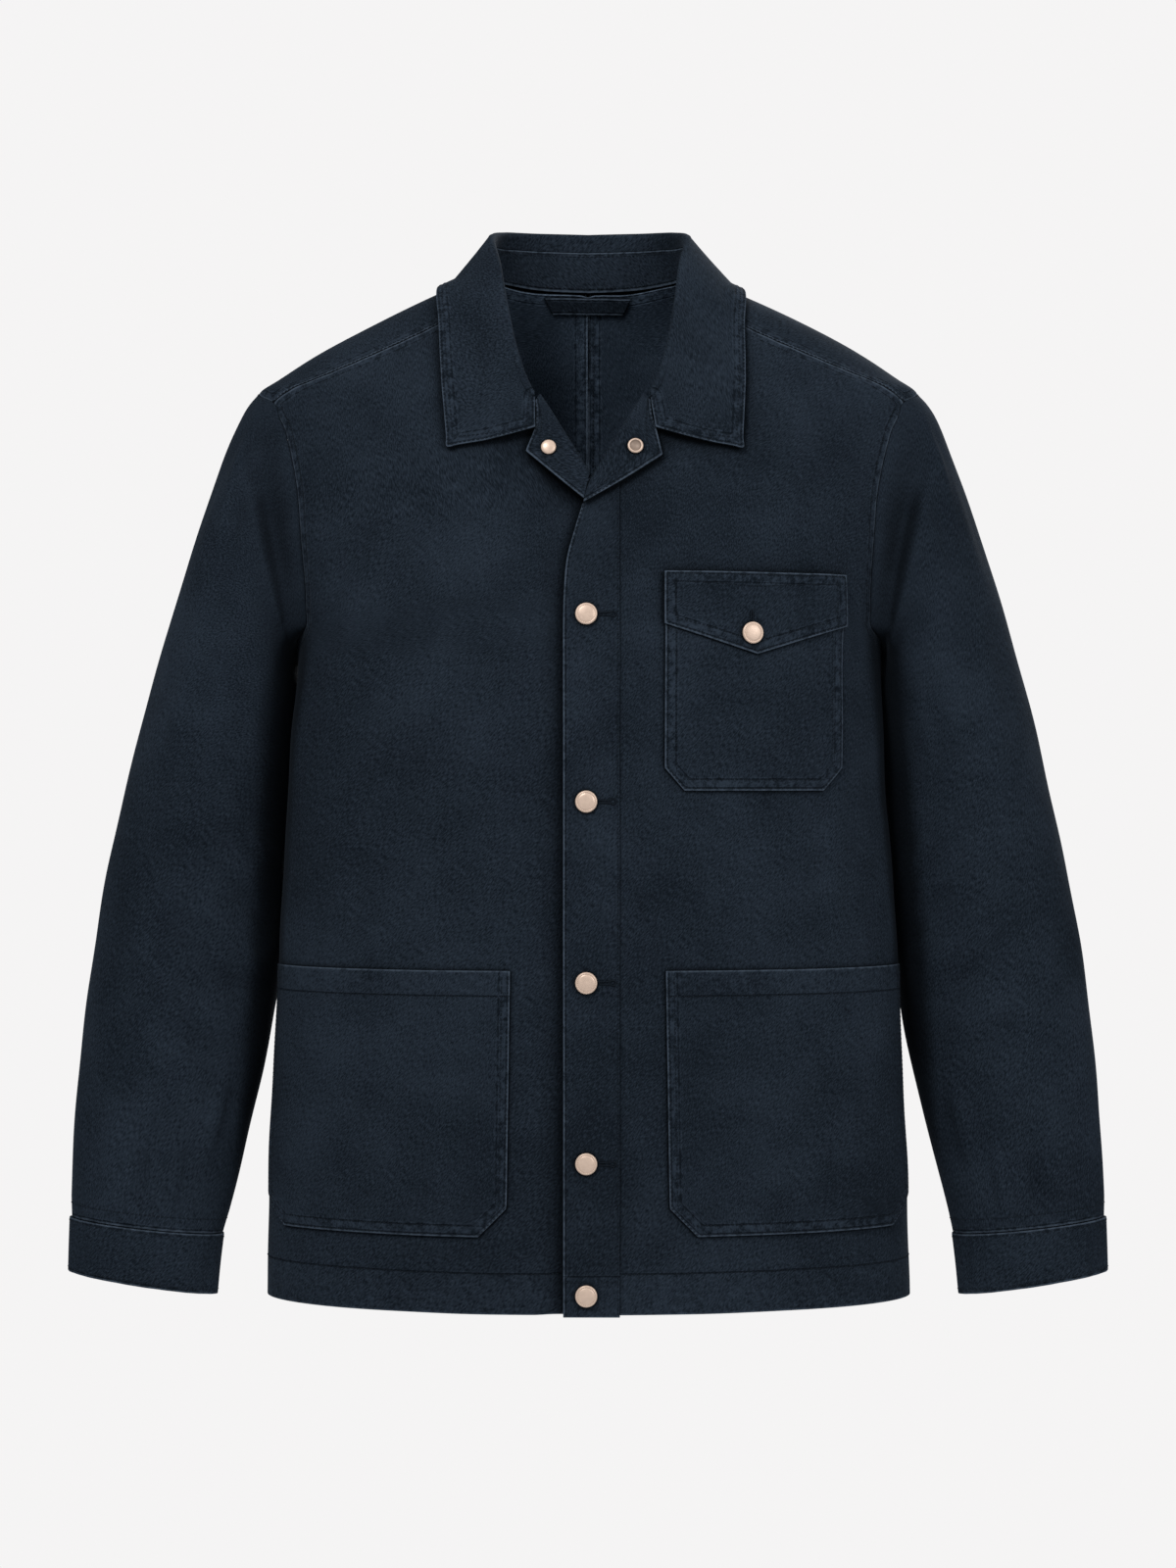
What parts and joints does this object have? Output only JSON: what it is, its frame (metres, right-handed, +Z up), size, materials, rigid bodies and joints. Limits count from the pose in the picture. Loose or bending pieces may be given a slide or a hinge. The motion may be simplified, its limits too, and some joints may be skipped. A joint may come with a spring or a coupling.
{
  "type": "chore jacket",
  "caption": "Chore jacket filled out as worn: open collar with turned-back front tops, buttoned placket, flapped chest pocket, hip patch pockets and long cuffed sleeves.",
  "frame": {"origin": "middle of the neck between the two side neck points, level with the tops of the shoulder seams, where the wearer's shoulders carry it", "axes": "+Z up, -Y the way the front faces, +X to the wearer's left"},
  "size_m": [0.742, 0.2487, 0.7661],
  "materials": {
    "navy_twill": "garment-washed cotton twill, dark navy, paler at its seams",
    "copper": "satin copper plate"
  },
  "bodies": {
    "root": {"front_left": "navy_twill", "front_right": "navy_twill", "back_left": "navy_twill", "back_right": "navy_twill", "placket": "navy_twill", "sleeve_left": "navy_twill", "sleeve_right": "navy_twill", "cuff_left": "navy_twill", "cuff_right": "navy_twill", "hip_pocket_left": "navy_twill", "hip_pocket_right": "navy_twill", "chest_pocket": "navy_twill", "chest_flap": "navy_twill", "collar_stand": "navy_twill", "collar_leaf": "navy_twill", "lapel_left": "navy_twill", "lapel_right": "navy_twill", "hanger_loop": "navy_twill", "front_button_1": "copper", "front_button_2": "copper", "front_button_3": "copper", "front_button_4": "copper", "front_button_5": "copper", "flap_button": "copper", "lapel_stud_right": "copper", "lapel_ring_left": "copper"}
  },
  "joints": []
}
